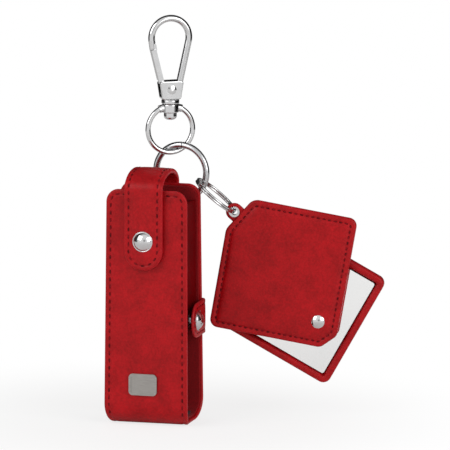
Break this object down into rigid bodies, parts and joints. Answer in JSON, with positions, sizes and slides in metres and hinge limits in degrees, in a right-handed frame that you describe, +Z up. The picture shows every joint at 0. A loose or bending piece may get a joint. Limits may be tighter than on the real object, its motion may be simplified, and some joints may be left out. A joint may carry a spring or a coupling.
{
  "type": "lipstick case",
  "caption": "Slim leather case for a lipstick with a press-stud strap, hung from a swivel trigger hook, with a leather charm covering a swing-out mirror.",
  "frame": {"origin": "middle of the flat base that the case stands on", "axes": "+Z up along the case, -Y out of the front panel with the strap and its press stud, +X towards the side tab and the charm"},
  "size_m": [0.1015, 0.0471, 0.157],
  "materials": {
    "leather": "smooth dyed calf leather, satin",
    "suede": "fine napped lining",
    "board": "fibre board",
    "chrome": "polished nickel plate",
    "nickel": "satin nickel plate",
    "mirror": "silvered glass"
  },
  "bodies": {
    "hook": {"hook_frame": "chrome", "swivel_post": "chrome", "swivel_collar": "chrome", "gate_rivet": "chrome", "gate_spring": "chrome"},
    "gate": {"gate": "chrome"},
    "swivel_eye": {"eye_barrel": "chrome", "eye_ring": "chrome"},
    "carrier": {"carrier_ring": "chrome"},
    "case": {"outer_shell": "leather", "lining": "suede", "insole_board": "board", "right_gusset": "leather", "left_gusset": "leather", "strap_rear": "leather", "hanging_loop": "leather", "side_tab_root": "leather", "front_snap_stud": "chrome", "front_snap_eyelet": "chrome", "side_snap_stud": "chrome", "side_snap_eyelet": "chrome", "blank_plate": "nickel"},
    "strap": {"strap_flap": "leather", "strap_snap_cap": "chrome", "strap_snap_socket": "chrome"},
    "tab": {"side_tab": "leather", "side_snap_cap": "chrome", "side_snap_socket": "chrome"},
    "split": {"split_ring": "chrome"},
    "cover": {"cover_facing": "leather", "cover_board": "board", "cover_lining": "suede", "cover_tab": "leather", "tab_eyelet": "chrome", "cover_cap_rivet": "chrome", "pivot_rivet": "chrome", "pivot_spacer": "chrome"},
    "mirror": {"mirror_tray": "leather", "mirror_backing": "board", "mirror_glass": "mirror"}
  },
  "joints": [
    {"name": "gate_swing", "type": "hinge", "parent": "hook", "child": "gate", "pos_m": [0.0028, 0.0142, 0.1281], "axis": [-0.5446, 0.8387, 0], "range_deg": [0, 22], "stiffness_Nm_per_rad": 0.002, "springref_deg": -17.19},
    {"name": "hook_swivel", "type": "hinge", "parent": "hook", "child": "swivel_eye", "pos_m": [0.0028, 0.0142, 0.12], "axis": [0, 0, 1], "continuous": true},
    {"name": "ring_swing", "type": "hinge", "parent": "swivel_eye", "child": "carrier", "pos_m": [0.00448, 0.01529, 0.10357], "axis": [0.8179, 0.5312, 0.221], "range_deg": [-25, 25]},
    {"name": "case_swing", "type": "hinge", "parent": "carrier", "child": "case", "pos_m": [0.007, 0.0149, 0.0853], "axis": [0.9903, -0.1392, 0], "range_deg": [-7, 6]},
    {"name": "strap_lift", "type": "hinge", "parent": "case", "child": "strap", "pos_m": [-0.0006, -0.00045, 0.0992], "axis": [-1, 0, 0], "range_deg": [0, 120]},
    {"name": "side_tab_open", "type": "hinge", "parent": "case", "child": "tab", "pos_m": [0.01658, 0.01162, 0.0404], "axis": [0, 0, 1], "range_deg": [0, 75]},
    {"name": "split_ring_swing", "type": "hinge", "parent": "carrier", "child": "split", "pos_m": [0.01577, 0.01367, 0.09016], "axis": [0.5321, -0.0748, 0.8434], "range_deg": [0, 45]},
    {"name": "charm_swing", "type": "hinge", "parent": "split", "child": "cover", "pos_m": [0.02768, 0.01717, 0.08069], "axis": [-0.1392, 0.9903, 0], "range_deg": [-60, 6]},
    {"name": "mirror_swivel", "type": "hinge", "parent": "cover", "child": "mirror", "pos_m": [0.02394, 0.01665, 0.03932], "axis": [-0.1392, 0.9903, 0], "range_deg": [-19.5, 90]}
  ]
}
